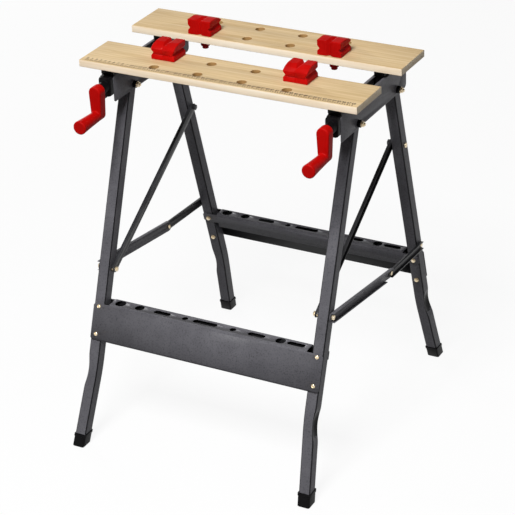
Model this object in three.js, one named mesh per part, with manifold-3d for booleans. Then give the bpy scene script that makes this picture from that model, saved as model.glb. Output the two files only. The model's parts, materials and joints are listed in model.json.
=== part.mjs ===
// A folding workbench: two wooden jaws on a folding steel frame, with two cranks that close the rear jaw.
// Millimetres, +Z up, +X to the right, +Y to the back.
// The origin is on the floor under the middle of the feet.
import * as THREE from "three";
import { mergeVertices } from "three/addons/utils/BufferGeometryUtils.js";
import Module from "manifold-3d";

const wasm = await Module();
wasm.setup();

// Worktop: two boards with a grid of peg holes.
const topHeight = 790;
const jawLength = 605;
const jawWidth = 109;
const jawThick = 15;
const jawGap = 93;
const pegHole = 19.5;
const pegColumns = 4;
const pegPitch = 97;
const pegInset = 27;
const pegRowSpacing = 57;

// Bench dogs: blocks with V grooves, stepped down to the back, each on a shank that drops into a peg hole.
const dogLength = 52;
const dogDepth = 47;
const dogHeight = 31.5;
const dogPlateau = 25;
const dogShoulderIn = 8.5;
const dogShoulderHeight = 28;
const dogBackHeight = 22.5;
const dogGroove = 5;
const dogGrooveHalf = 6;
const dogGrooveHeight = 14;
const shankBelowJaw = 14;
const shankTip = 13;
const shankTipLength = 6;

// Rails: channels, open below, that carry the jaws and take the tops of the legs.
const railWidth = 28.4;
const railHeight = 55;
const railSheet = 1.2;
const railFrontInset = 13.5;
const railRearProud = 1.5;
const railCorner = 9;
const jawLift = 15;
const jawOverhang = 53.8;
const slotWidth = 17;
const slotSpare = 10;

// Legs: square tubes on pivots in the rails, bent outwards below the trays.
const tube = 25;
const tubeWall = 1.2;
const tubeCorner = 3;
const frontPivotInset = 76;
const rearPivotInset = 42;
const pivotRise = 10;
const legTopGap = 1.5;
const footY = 322;
const footSplay = 12.6;
const bendHeight = 158;

// Feet: plastic caps on the ends of the legs.
const footHeight = 27;
const footWall = 1.5;
const footSole = 4;

// Trays: bent sheets that join each pair of legs, with holes for tools in the level top. The places of the
// holes are drawn on a shelf of trayHoleSpan to each side of the middle, and spread with the real shelf.
const traySheet = 1.2;
const trayTop = 293.5;
const trayBoltHeight = 281;
const trayBoltSpacing = 58;
const trayBelowBolt = 8;
const trayInnerHeight = 36;
const trayTabHeight = 26;
const trayEndGap = 11;
const trayHoleSpan = 225.2;
const trayRounds = [
  [-206, 23],
  [-161, 20],
  [-55, 12.5],
  [54.5, 13.5],
  [161, 21],
];
const traySlots = [
  [-108, 38],
  [-9, 55],
  [107.5, 38.5],
  [195.4, 38.8],
];
const traySlotWidth = 13;

// Stays and folding struts: channels with rounded ends. A stay's upper end is placed down the leg from its
// pivot, and the other ends are placed up the legs from the upper tray bolts. A strut's two halves meet a
// little below the straight line between its ends.
const frontBraceAboveBolt = 81;
const stayDrop = 143;
const strutAboveBolt = 35;
const stayWidth = 15;
const stayDepth = 7.2;
const strutWidth = 21;
const strutDepth = 8;
const strutRearWidth = 17;
const strutRearDepth = 6.2;
const strutFrontShare = 0.64;
const strutSag = 8;
const braceSheet = 1.3;
const strutFlangeCutBack = 26;

// Clamp: cranks turn spindles, which pull nut blocks along the rails.
const spindle = 10;
const spindleDrop = 20;
const spindleBeyondNut = 1;
const collar = 18;
const collarLength = 5;
const bushFlange = 10;
const bushFlangeWidth = 27;
const bushFlangeHeight = 40;
const bushFlangeCorner = 6;
const bushBelowRailTop = 1;
const bushBoss = 23;
const bushBossLength = 18.4;
const bushPlugLength = 26;
const bushPlugDrop = 18;
const crankRadius = 49;
const crankHub = 27;
const crankArmEnd = 22;
const crankArmDepth = 22;
const crankHandleLength = 63;
const crankHandleRootIn = 2;
const crankHandleRoot = 24;
const crankHandleEnd = 28.5;
const crankSocketDepth = 15;
const nutBlockInset = 33.5;
const nutBlockLength = 34;
const sliderWidth = 22;
const sliderFront = 20;
const sliderRear = 32;
const spacerInset = 2;
const spacerLength = 78;
const spacerScrewInset = 40;
const jawScrewRearOffset = 23;

// Fasteners.
const pivotBolt = 6;
const trayBolt = 5;
const bracePin = 6;
const hexAcross = 11;
const hexThick = 4.5;
const boltTip = 3;
const trayHead = 9;
const trayHeadThick = 2.5;
const trayNutAcross = 8.8;
const trayNutThick = 3.4;
const pivotBush = 15;
const pivotBushThick = 7;
const bushSleeve = 10;
const studAcross = 10;
const pinHeadThick = 3.2;
const rivetHead = 9;
const rivetHeadThick = 1.8;
const screwHead = 10.5;
const screwHeadThick = 4;
const screwDepthInJaw = 10;

// Clearances: between neighbours that touch, round a turning or sliding piece, and past a cut face.
const fit = 0.3;
const holeFit = 0.6;
const shankFit = 0.5;
const past = 5;

// Steps in a full circle, for large and small bars, and in a rounded corner.
const largeCircleSteps = 20;
const smallCircleSteps = 12;
const smallBar = 11;
const cornerSteps = 2;
const arcSteps = 6;

// Worked out from the driving dimensions.
const jawUnderside = topHeight - jawThick;
const jawInnerY = jawGap / 2;
const jawOuterY = jawInnerY + jawWidth;
const railTop = jawUnderside - jawLift;
const railBottom = railTop - railHeight;
const railFront = railFrontInset - jawOuterY;
const railRear = jawOuterY + railRearProud;
const pivotZ = railBottom + pivotRise;
const frontPivotY = railFront + frontPivotInset;
const rearPivotY = railRear - rearPivotInset;
const spindleZ = railTop - spindleDrop;
const nutBlockY = jawInnerY + nutBlockInset;
const spacerFront = railFront + spacerInset;
const jawScrewFrontY = spacerFront + spacerScrewInset;
const jawScrewRearY = nutBlockY + jawScrewRearOffset;
const crankArmRear = railFront - bushFlange - bushBossLength - 2 * fit;
const legX = jawLength / 2 - jawOverhang;
const footX = legX + footSplay;
const legInner = legX - tube / 2;
const legOuter = legX + tube / 2;
const pegInnerRow = jawInnerY + pegInset;
const pegOuterRow = pegInnerRow + pegRowSpacing;
const dogShank = pegHole - shankFit;
const channelWidth = railWidth - 2 * railSheet;
const blockWidth = channelWidth - 2 * fit;
const faceOffset = tube / 2 + fit;
const skinOffset = faceOffset + traySheet;
const SIDES = { left: -1, right: 1 };
const ENDS = {
  front: { out: -1, pivotY: frontPivotY },
  rear: { out: 1, pivotY: rearPivotY },
};
for (const end of Object.values(ENDS)) {
  end.slope = (footY - end.out * end.pivotY) / pivotZ;
  end.tilt = Math.atan(end.slope);
}

// Materials.
const finish = (color, roughness, metalness) =>
  new THREE.MeshStandardMaterial({ color, roughness, metalness });
const wood = finish(0xdcc093, 0.6, 0);
const paintedSteel = finish(0x4b4a4f, 0.5, 0.4);
const zincSteel = finish(0xd8c7a0, 0.35, 0.9);
const blackPlastic = finish(0x17171a, 0.45, 0);
const redPlastic = finish(0xc00d0a, 0.4, 0);

// A closed geometry as a solid that can be joined and cut, and back.
function solid(geometry) {
  const bare = geometry.clone();
  bare.deleteAttribute("normal");
  bare.deleteAttribute("uv");
  const merged = mergeVertices(bare, 1e-4);
  const vertProperties = merged.attributes.position.array;
  const triVerts = new Uint32Array(merged.index.array);
  return new wasm.Manifold(new wasm.Mesh({ numProp: 3, vertProperties, triVerts }));
}

function geometryOf(body) {
  const mesh = body.getMesh();
  const geometry = new THREE.BufferGeometry();
  geometry.setAttribute("position", new THREE.BufferAttribute(mesh.vertProperties, 3));
  geometry.setIndex(new THREE.BufferAttribute(mesh.triVerts, 1));
  geometry.computeVertexNormals();
  return geometry;
}

const join = (...parts) => parts.map(solid).reduce((whole, part) => whole.add(part));
const cut = (body, ...tools) => tools.map(solid).reduce((rest, tool) => rest.subtract(tool), body);

// Simple shapes between two corners, and round bars along each axis.
const stepsFor = (diameter) => (diameter > smallBar ? largeCircleSteps : smallCircleSteps);

function block([x0, x1], [y0, y1], [z0, z1]) {
  const shape = new THREE.BoxGeometry(Math.abs(x1 - x0), y1 - y0, z1 - z0);
  return shape.translate((x0 + x1) / 2, (y0 + y1) / 2, (z0 + z1) / 2);
}

function barX(diameter, [x0, x1], y, z, sides = stepsFor(diameter)) {
  const bar = new THREE.CylinderGeometry(diameter / 2, diameter / 2, Math.abs(x1 - x0), sides);
  return bar.rotateZ(Math.PI / 2).translate((x0 + x1) / 2, y, z);
}

function barY(diameter, x, [y0, y1], z, sides = stepsFor(diameter)) {
  const bar = new THREE.CylinderGeometry(diameter / 2, diameter / 2, Math.abs(y1 - y0), sides);
  return bar.translate(x, (y0 + y1) / 2, z);
}

function barZ(diameter, x, y, [z0, z1], sides = stepsFor(diameter)) {
  const bar = new THREE.CylinderGeometry(diameter / 2, diameter / 2, z1 - z0, sides);
  return bar.rotateX(Math.PI / 2).translate(x, y, (z0 + z1) / 2);
}

const hexX = (span, y, z) => barX(hexAcross, span, y, z, 6);

// An outline drawn in (y, z), or in (x, y), and extruded along the third axis.
const yzAxes = new THREE.Matrix4().makeBasis(
  new THREE.Vector3(0, 1, 0),
  new THREE.Vector3(0, 0, 1),
  new THREE.Vector3(1, 0, 0),
);

function alongX(outline, [x0, x1]) {
  const settings = { depth: Math.abs(x1 - x0), bevelEnabled: false, curveSegments: arcSteps };
  const shape = new THREE.ExtrudeGeometry(outline, settings).applyMatrix4(yzAxes);
  return shape.translate(Math.min(x0, x1), 0, 0);
}

function alongZ(outline, [z0, z1]) {
  const settings = { depth: z1 - z0, bevelEnabled: false, curveSegments: arcSteps };
  return new THREE.ExtrudeGeometry(outline, settings).translate(0, 0, z0);
}

const polygon = (points) => new THREE.Shape(points.map(([a, b]) => new THREE.Vector2(a, b)));

// A bar with round ends, from its first centre to its second, along the outline's first axis.
function stadium(start, end, width) {
  const outline = new THREE.Shape();
  outline.absarc(end, 0, width / 2, -Math.PI / 2, Math.PI / 2);
  outline.absarc(start, 0, width / 2, Math.PI / 2, (3 * Math.PI) / 2);
  return outline;
}

// A level ring with rounded corners, and the closed loft through a stack of rings.
function ring(width, depth, radius, [x, y, z]) {
  const points = [];
  for (let corner = 0; corner < 4; corner++) {
    const signX = corner === 0 || corner === 3 ? 1 : -1;
    const signY = corner < 2 ? 1 : -1;
    for (let step = 0; step <= cornerSteps; step++) {
      const angle = ((corner + step / cornerSteps) * Math.PI) / 2;
      const px = x + signX * (width / 2 - radius) + radius * Math.cos(angle);
      const py = y + signY * (depth / 2 - radius) + radius * Math.sin(angle);
      points.push(px, py, z);
    }
  }
  return points;
}

function loft(rings) {
  const count = rings[0].length / 3;
  const index = [];
  for (let level = 0; level < rings.length - 1; level++) {
    for (let i = 0; i < count; i++) {
      const a = level * count + i;
      const b = level * count + ((i + 1) % count);
      index.push(a, b, b + count, a, b + count, a + count);
    }
  }
  const last = (rings.length - 1) * count;
  for (let i = 1; i < count - 1; i++) {
    index.push(0, i + 1, i, last, last + i, last + i + 1);
  }
  const geometry = new THREE.BufferGeometry();
  geometry.setAttribute("position", new THREE.Float32BufferAttribute(rings.flat(), 3));
  return geometry.setIndex(index);
}

// The scene graph: one named mesh for each piece.
const bench = new THREE.Group();

function add(name, body, material, parent = bench) {
  const mesh = new THREE.Mesh(geometryOf(body), material);
  mesh.name = name;
  parent.add(mesh);
  return mesh;
}

// A span of x measured outwards from the middle, on one side of the bench.
const outwards = (side, from, to) => [side * from, side * to].sort((a, b) => a - b);

// The middle of a leg at a height, and a frame at its pivot with -Z down the leg and +Y square to it.
function legAt(side, end, z) {
  const splay = (Math.max(0, bendHeight - z) / bendHeight) * (footX - legX);
  return [side * (legX + splay), end.pivotY + end.out * (pivotZ - z) * end.slope, z];
}

function legFrame(side, end) {
  const frame = new THREE.Group();
  frame.position.set(side * legX, end.pivotY, pivotZ);
  frame.rotation.x = end.out * end.tilt;
  frame.updateMatrix();
  return frame;
}

// A point on a leg's middle line, a distance down from its pivot, as [y, z].
function downLeg(end, distance) {
  const y = end.pivotY + end.out * distance * Math.sin(end.tilt);
  return [y, pivotZ - distance * Math.cos(end.tilt)];
}

// The distances down a leg to its two tray bolts.
function trayBoltDrops(end) {
  const upper = (pivotZ - trayBoltHeight) / Math.cos(end.tilt);
  return { upper, lower: upper + trayBoltSpacing };
}

const frontBrace = downLeg(ENDS.front, trayBoltDrops(ENDS.front).upper - frontBraceAboveBolt);
const stayTop = downLeg(ENDS.rear, stayDrop);
const strutEnd = downLeg(ENDS.rear, trayBoltDrops(ENDS.rear).upper - strutAboveBolt);
const strutMiddle = [
  frontBrace[0] + (strutEnd[0] - frontBrace[0]) * strutFrontShare,
  frontBrace[1] + (strutEnd[1] - frontBrace[1]) * strutFrontShare - strutSag,
];

// Legs

function legTube(side, end, size, corner, heights) {
  const depth = size / Math.cos(end.tilt);
  return loft(heights.map((z) => ring(size, depth, corner, legAt(side, end, z))));
}

function leg(side, end) {
  const heights = [footSole + fit, bendHeight, pivotZ + tube];
  const longer = [heights[0] - past, bendHeight, heights[2] + past];
  const outer = legTube(side, end, tube, tubeCorner, heights);
  const bore = legTube(side, end, tube - 2 * tubeWall, tubeCorner - tubeWall, longer);
  const frame = legFrame(side, end).matrix;
  const across = outwards(side, legInner - past, legOuter + past);
  const below = block([-tube, tube], [-tube, tube], [-pivotZ - 4 * tube, 0]).applyMatrix4(frame);
  const roundTop = join(barX(tube, across, end.pivotY, pivotZ), below);
  const holes = Object.values(trayBoltDrops(end)).map((drop) =>
    barY(trayBolt + holeFit, 0, [-tube, tube], -drop).applyMatrix4(frame),
  );
  const [pinY, pinZ] = end.out < 0 ? frontBrace : stayTop;
  holes.push(barX(bracePin + holeFit, across, pinY, pinZ));
  holes.push(barX(pivotBolt + holeFit, across, end.pivotY, pivotZ));
  return cut(solid(outer).intersect(roundTop), bore, ...holes);
}

function foot(side, end) {
  const width = tube + 2 * (fit + footWall);
  const depth = width / Math.cos(ENDS.front.tilt);
  const cap = loft([0, footHeight].map((z) => ring(width, depth, tubeCorner, legAt(side, end, z))));
  const socket = legTube(side, end, tube + 2 * fit, tubeCorner, [footSole, bendHeight]);
  return cut(solid(cap), socket);
}

// Trays

// A strip of sheet between two offsets from the leg's middle and two heights, cut level at both ends.
function strip(end, [inner, outer], [z0, z1]) {
  const place = (offset, z) => {
    const shift = offset / Math.cos(end.tilt);
    return [end.pivotY + end.out * ((pivotZ - z) * end.slope + shift), z];
  };
  return polygon([place(inner, z0), place(outer, z0), place(outer, z1), place(inner, z1)]);
}

function tray(end) {
  const drops = trayBoltDrops(end);
  const bottom = pivotZ - (drops.lower + trayBelowBolt) * Math.cos(end.tilt);
  const face = strip(end, [faceOffset, skinOffset], [bottom, trayTop]);
  const shelf = strip(end, [-skinOffset, skinOffset], [trayTop - traySheet, trayTop]);
  const lip = strip(end, [-skinOffset, -faceOffset], [trayTop - trayInnerHeight, trayTop]);
  const tab = strip(end, [-skinOffset, -faceOffset], [trayTop - trayTabHeight, trayTop]);
  const shelfEnd = legInner - trayEndGap;
  const sheet = join(
    alongX(face, [-legOuter, legOuter]),
    alongX(shelf, [-shelfEnd, shelfEnd]),
    alongX(lip, [-shelfEnd, shelfEnd]),
    alongX(tab, [-legOuter, legOuter]),
  );
  const holes = [];
  for (const side of Object.values(SIDES)) {
    const frame = legFrame(side, end).matrix;
    for (const drop of Object.values(drops)) {
      holes.push(barY(trayBolt + holeFit, 0, [-tube, tube], -drop).applyMatrix4(frame));
    }
  }
  const middleY = end.pivotY + end.out * (pivotZ - trayTop) * end.slope;
  const through = [trayTop - past, trayTop + past];
  const spread = shelfEnd / trayHoleSpan;
  for (const [x, diameter] of trayRounds) {
    holes.push(barZ(diameter, x * spread, middleY, through));
  }
  for (const [x, length] of traySlots) {
    const half = (length - traySlotWidth) / 2;
    const slot = alongZ(stadium(-half, half, traySlotWidth), through);
    holes.push(slot.translate(x * spread, middleY, 0));
  }
  return cut(sheet, ...holes);
}

// A tray bolt lies along the leg frame's +Y, with its head on the outer skin and its nut on the inner.
function trayBoltBody(end, behind) {
  const at = (offset) => end.out * offset;
  const head = skinOffset + fit;
  const nut = behind + fit;
  return join(
    barY(trayBolt, 0, [at(head), at(-nut)], 0),
    barY(trayHead, 0, [at(head), at(head + trayHeadThick)], 0),
    barY(trayNutAcross, 0, [at(-nut), at(-nut - trayNutThick)], 0, 6),
  );
}

// Rails, their pivots and what they hold

function rail(side) {
  const small = railCorner / 2;
  const half = Math.PI / 2;
  const profile = new THREE.Shape();
  profile.moveTo(railFront, railTop - railCorner);
  profile.lineTo(railFront, railBottom + small);
  profile.absarc(railFront + small, railBottom + small, small, 2 * half, 3 * half);
  profile.absarc(railRear - railCorner, railBottom + railCorner, railCorner, 3 * half, 4 * half);
  profile.lineTo(railRear, railTop);
  profile.absarc(railFront + railCorner, railTop - railCorner, railCorner, half, 2 * half);
  const centre = side * legX;
  const span = (width) => [centre - width / 2, centre + width / 2];
  const lengthwise = [railFront - past, railRear + past];
  const slotFront = nutBlockY - nutBlockLength / 2 - jawGap - slotSpare;
  const holes = Object.values(ENDS).flatMap((end) => [
    barX(pivotBolt + holeFit, span(railWidth + past), end.pivotY, pivotZ),
    barX(bushSleeve + holeFit, [centre, centre + railWidth], end.pivotY, pivotZ),
  ]);
  return cut(
    solid(alongX(profile, span(railWidth))),
    block(span(channelWidth), lengthwise, [railBottom - past, railTop - railSheet]),
    block(span(slotWidth), [slotFront, railRear + past], [railTop - past, railTop + past]),
    barZ(pivotBolt + holeFit, centre, jawScrewFrontY, [railTop - past, railTop + past]),
    ...holes,
  );
}

// A pivot bolt runs from its head on a rail's left wall to its nut on the bush outside the right wall.
function pivotBoltBody(end) {
  const headFace = -railWidth / 2 - fit;
  const nutFace = railWidth / 2 + pivotBushThick + 2 * fit;
  return join(
    barX(pivotBolt, [headFace, nutFace + hexThick + boltTip], end.pivotY, pivotZ),
    hexX([headFace - hexThick, headFace], end.pivotY, pivotZ),
    hexX([nutFace, nutFace + hexThick], end.pivotY, pivotZ),
  );
}

function pivotBushBody(end) {
  const wallFace = railWidth / 2 + fit;
  const sleeve = join(
    barX(pivotBush, [wallFace, wallFace + pivotBushThick], end.pivotY, pivotZ),
    barX(bushSleeve, [tube / 2 + fit, wallFace + pivotBushThick / 2], end.pivotY, pivotZ),
  );
  return cut(sleeve, barX(pivotBolt + holeFit, [0, railWidth], end.pivotY, pivotZ));
}

// A bush that plugs the front of a rail, with a boss that reaches forward to the crank.
function spindleBush(side) {
  const x = side * legX;
  const middle = railTop - bushBelowRailTop - bushFlangeHeight / 2;
  const flangeRear = railFront - fit;
  const bossFront = flangeRear - bushFlange - bushBossLength;
  const plugRear = railFront + bushPlugLength;
  const flange = loft(
    [0, bushFlange].map((z) => ring(bushFlangeWidth, bushFlangeHeight, bushFlangeCorner, [0, 0, z])),
  );
  flange.rotateX(Math.PI / 2).translate(x, flangeRear, middle);
  const boss = barY(bushBoss, x, [bossFront, flangeRear - past], spindleZ);
  const plug = block(
    [x - blockWidth / 2, x + blockWidth / 2],
    [flangeRear - past, plugRear],
    [spindleZ - bushPlugDrop, railTop - railSheet - fit],
  );
  const through = [bossFront - past, plugRear + past];
  return cut(join(flange, boss, plug), barY(spindle + holeFit, x, through, spindleZ));
}

function spindleBody(side) {
  const x = side * legX;
  const collarFront = railFront + bushPlugLength + fit;
  const front = crankArmRear - crankSocketDepth;
  const rear = nutBlockY + nutBlockLength / 2 + spindleBeyondNut;
  return join(
    barY(spindle, x, [front, rear], spindleZ),
    barY(collar, x, [collarFront, collarFront + collarLength], spindleZ),
  );
}

// A crank: an arm that hangs down from the end of the spindle and a handle that points to the front.
function crank(side) {
  const x = side * legX;
  const armFront = crankArmRear - crankArmDepth;
  const handleZ = spindleZ - crankRadius;
  const outline = new THREE.Shape();
  outline.absarc(0, 0, crankHub / 2, 0, Math.PI);
  outline.absarc(0, -crankRadius, crankArmEnd / 2, Math.PI, 2 * Math.PI);
  const arm = alongZ(outline, [0, crankArmDepth]).rotateX(Math.PI / 2);
  arm.translate(x, crankArmRear, spindleZ);
  const handle = new THREE.CylinderGeometry(
    crankHandleRoot / 2,
    crankHandleEnd / 2,
    crankHandleLength,
    largeCircleSteps,
  );
  handle.translate(x, armFront + crankHandleRootIn - crankHandleLength / 2, handleZ);
  const socket = [crankArmRear - crankSocketDepth - fit, crankArmRear + past];
  return cut(join(arm, handle), barY(spindle + holeFit, x, socket, spindleZ));
}

// The travelling nut block: a nut on the spindle, a neck through the slot and a slider under the jaw.
function nutBlock(side) {
  const x = side * legX;
  const half = nutBlockLength / 2;
  const along = [nutBlockY - half, nutBlockY + half];
  const under = railTop + fit;
  const bottom = pivotZ + tube / 2 + legTopGap;
  const body = join(
    block([x - blockWidth / 2, x + blockWidth / 2], along, [bottom, railTop - railSheet - fit]),
    block([x - slotWidth / 2 + fit, x + slotWidth / 2 - fit], along, [bottom, jawUnderside - fit]),
    block(
      [x - sliderWidth / 2, x + sliderWidth / 2],
      [nutBlockY - sliderFront, nutBlockY + sliderRear],
      [under, jawUnderside - fit],
    ),
  );
  return cut(
    body,
    barY(spindle + holeFit, x, [nutBlockY - 2 * half, nutBlockY + 2 * half], spindleZ),
    barZ(pivotBolt + holeFit, x, jawScrewRearY, [under, jawUnderside]),
    barZ(screwHead + holeFit, x, jawScrewRearY, [railTop, under + screwHeadThick + fit]),
  );
}

// The spacer that holds the fixed front jaw off the rail.
function jawSpacer(side) {
  const x = side * legX;
  const body = block(
    [x - railWidth / 2, x + railWidth / 2],
    [spacerFront, spacerFront + spacerLength],
    [railTop + fit, jawUnderside - fit],
  );
  return cut(solid(body), barZ(pivotBolt + holeFit, x, jawScrewFrontY, [railTop, jawUnderside]));
}

// A screw that comes up from below into a jaw, from the height of its head's seat.
function jawScrew(x, y, seat) {
  return join(
    barZ(pivotBolt, x, y, [seat - screwHeadThick / 2, jawUnderside + screwDepthInJaw], 12),
    barZ(screwHead, x, y, [seat - screwHeadThick, seat]),
  );
}

// Jaws and bench dogs

function jaw(out) {
  const near = out * jawInnerY;
  const far = out * jawOuterY;
  const edges = [Math.min(near, far), Math.max(near, far)];
  const board = block([-jawLength / 2, jawLength / 2], edges, [jawUnderside, topHeight]);
  const holes = [];
  for (let column = 0; column < pegColumns; column++) {
    const x = (column - (pegColumns - 1) / 2) * pegPitch;
    for (const row of [pegInnerRow, pegOuterRow]) {
      holes.push(barZ(pegHole, x, out * row, [jawUnderside - past, topHeight + past]));
    }
  }
  const screwY = out < 0 ? jawScrewFrontY : jawScrewRearY;
  const blind = [jawUnderside - past, jawUnderside + screwDepthInJaw + fit];
  for (const side of Object.values(SIDES)) {
    holes.push(barZ(pivotBolt + holeFit, side * legX, screwY, blind, 12));
  }
  return cut(solid(board), ...holes);
}

// A four-sided tool that cuts a V groove, with its middle on the face that it cuts.
function grooveTool([a, b], reachA, reachB) {
  return polygon([
    [a - reachA, b],
    [a, b - reachB],
    [a + reachA, b],
    [a, b + reachB],
  ]);
}

// A dog clamps with its +Y face. V grooves run along its top and ends, and up its front.
function dog() {
  const base = fit;
  const top = base + dogHeight;
  const reach = dogLength;
  const front = dogDepth / 2;
  const grooveZ = base + dogGrooveHeight;
  const profile = polygon([
    [-front, base],
    [front, base],
    [front, top],
    [front - dogPlateau, top],
    [dogShoulderIn - front, base + dogShoulderHeight],
    [-front, base + dogBackHeight],
  ]);
  const shankEnd = -jawThick - shankBelowJaw;
  const body = join(
    alongX(profile, [-dogLength / 2, dogLength / 2]),
    barZ(dogShank, 0, 0, [shankEnd, base + past]),
    barZ(shankTip, 0, 0, [shankEnd - shankTipLength, shankEnd + past]),
  );
  const alongY = (outline) => alongX(outline, [-reach, reach]).rotateZ(Math.PI / 2);
  return cut(
    body,
    alongY(grooveTool([0, top], dogGrooveHalf, dogGroove)),
    alongY(grooveTool([-dogLength / 2, grooveZ], dogGroove, dogGrooveHalf)),
    alongY(grooveTool([dogLength / 2, grooveZ], dogGroove, dogGrooveHalf)),
    alongZ(grooveTool([0, front], dogGrooveHalf, dogGroove), [0, top + past]),
  );
}

// Stays and struts

// A channel between two pivots, along its own +Y, with its web nearest the middle of the bench.
function channelBar(side, length, width, webX, depth, holes) {
  const flangeX = webX + depth;
  const outline = stadium(0, length, width);
  const pocket = (width - 2 * braceSheet) / 2;
  return cut(
    solid(alongX(outline, outwards(side, webX, flangeX))),
    block(
      outwards(side, webX + braceSheet, flangeX + past),
      [-width, length + width],
      [-pocket, pocket],
    ),
    ...holes.map((y) => barX(bracePin + holeFit, outwards(side, webX - past, flangeX + past), y, 0)),
  );
}

// A group at a pivot whose +Y points to a second pivot.
function braceFrame([y0, z0], [y1, z1]) {
  const frame = new THREE.Group();
  frame.position.set(0, y0, z0);
  frame.rotation.x = Math.atan2(z1 - z0, y1 - y0);
  bench.add(frame);
  return { frame, length: Math.hypot(y1 - y0, z1 - z0) };
}

const stayWeb = legInner - 2 * fit - stayDepth;
const strutWeb = legOuter + fit;
const strutRearWeb = strutWeb + braceSheet + fit;

// A stay, with the end of its upper bolt as a stud that reaches the rear leg and a nut inside the bench.
function stay(side, length) {
  const bar = channelBar(side, length, stayWidth, stayWeb, stayDepth, [0]);
  const stud = barX(studAcross, outwards(side, stayWeb + braceSheet / 2, legInner - fit), length, 0);
  const nut = hexX(outwards(side, stayWeb - hexThick, stayWeb + braceSheet / 2), length, 0);
  return bar.add(solid(stud)).add(solid(nut));
}

// The front half of a strut: its lower flange is cut back so that the rear half can swing under it.
function strutFront(side, length) {
  const bar = channelBar(side, length, strutWidth, strutWeb, strutDepth, [0, length]);
  const clear = block(
    outwards(side, strutWeb + braceSheet, strutWeb + strutDepth + past),
    [length - strutFlangeCutBack, length + strutWidth],
    [-strutWidth, 0],
  );
  return cut(bar, clear);
}

// The rear half of a strut, with a stud at its end that reaches the rear leg.
function strutRear(side, length) {
  const bar = channelBar(side, length, strutRearWidth, strutRearWeb, strutRearDepth, [0]);
  const studEnd = strutRearWeb + braceSheet + rivetHeadThick;
  const stud = barX(rivetHead, outwards(side, legOuter + fit, studEnd), length, 0);
  return bar.add(solid(stud));
}

// Pins, measured outwards along X from the middle of the bench.
function strutPin(side) {
  const stayHead = stayWeb - fit;
  const nut = strutWeb + braceSheet + fit;
  return join(
    barX(bracePin, outwards(side, stayHead - hexThick, nut + hexThick), 0, 0),
    hexX(outwards(side, stayHead - hexThick, stayHead), 0, 0),
    barX(studAcross, outwards(side, stayWeb + braceSheet + fit, legInner - fit), 0, 0),
    hexX(outwards(side, nut, nut + hexThick), 0, 0),
  );
}

function stayPin(side) {
  const head = legOuter + fit;
  return join(
    barX(bracePin, outwards(side, legInner, head + pinHeadThick / 2), 0, 0),
    barX(hexAcross, outwards(side, head, head + pinHeadThick), 0, 0),
  );
}

function strutRivet(side) {
  const inner = strutWeb - fit;
  const outer = strutRearWeb + braceSheet + fit;
  return join(
    barX(bracePin, outwards(side, inner - rivetHeadThick / 2, outer + rivetHeadThick / 2), 0, 0),
    barX(rivetHead, outwards(side, inner - rivetHeadThick, inner), 0, 0),
    barX(rivetHead, outwards(side, outer, outer + rivetHeadThick), 0, 0),
  );
}

// Assembly

add("front_jaw", jaw(-1), wood);
add("rear_jaw", jaw(1), wood);

for (const [endName, end] of Object.entries(ENDS)) {
  add(`${endName}_tray`, tray(end), paintedSteel);
  for (const [sideName, side] of Object.entries(SIDES)) {
    const tag = `${endName}_${sideName}`;
    add(`leg_${tag}`, leg(side, end), paintedSteel);
    add(`foot_${tag}`, foot(side, end), blackPlastic);

    const frame = legFrame(side, end);
    bench.add(frame);
    for (const [level, drop] of Object.entries(trayBoltDrops(end))) {
      const behind = level === "upper" ? skinOffset : tube / 2;
      const bolt = add(`tray_bolt_${tag}_${level}`, trayBoltBody(end, behind), zincSteel, frame);
      bolt.position.z = -drop;
    }

    const pivot = add(`pivot_bolt_${tag}`, pivotBoltBody(end), zincSteel);
    pivot.position.x = side * legX;
    const bush = add(`pivot_bush_${tag}`, pivotBushBody(end), blackPlastic);
    bush.position.x = side * legX;

    const peg = add(`dog_${tag}`, dog(), redPlastic);
    peg.position.set((side * pegPitch * (pegColumns - 1)) / 2, end.out * pegInnerRow, topHeight);
    peg.rotation.z = end.out < 0 ? 0 : Math.PI;
  }
}

for (const [sideName, side] of Object.entries(SIDES)) {
  const x = side * legX;
  add(`rail_${sideName}`, rail(side), paintedSteel);
  add(`spindle_bush_${sideName}`, spindleBush(side), blackPlastic);
  add(`spindle_${sideName}`, spindleBody(side), zincSteel);
  add(`crank_${sideName}`, crank(side), redPlastic);
  add(`nut_block_${sideName}`, nutBlock(side), blackPlastic);
  add(`jaw_spacer_${sideName}`, jawSpacer(side), blackPlastic);
  add(`jaw_screw_front_${sideName}`, jawScrew(x, jawScrewFrontY, railTop - railSheet - fit), zincSteel);
  const rearSeat = railTop + fit + screwHeadThick;
  add(`jaw_screw_rear_${sideName}`, jawScrew(x, jawScrewRearY, rearSeat), zincSteel);

  const stayLine = braceFrame(frontBrace, stayTop);
  add(`stay_${sideName}`, stay(side, stayLine.length), paintedSteel, stayLine.frame);
  const strutLine = braceFrame(frontBrace, strutMiddle);
  add(`strut_front_${sideName}`, strutFront(side, strutLine.length), paintedSteel, strutLine.frame);
  const rearLine = braceFrame(strutMiddle, strutEnd);
  add(`strut_rear_${sideName}`, strutRear(side, rearLine.length), paintedSteel, rearLine.frame);

  const pins = [
    [`strut_pin_${sideName}`, strutPin(side), frontBrace],
    [`stay_pin_${sideName}`, stayPin(side), stayTop],
    [`strut_rivet_${sideName}`, strutRivet(side), strutMiddle],
  ];
  for (const [name, body, [y, z]] of pins) {
    add(name, body, zincSteel).position.set(0, y, z);
  }
}

export default bench;
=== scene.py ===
"""Looks for the folding workbench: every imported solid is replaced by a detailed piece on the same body.

Sizes are in millimetres and repeat the part's own values. Meshes are scaled to metres as they are made.
"""
import json
import math

import bmesh
import bpy
from mathutils import Matrix, Vector


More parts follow.
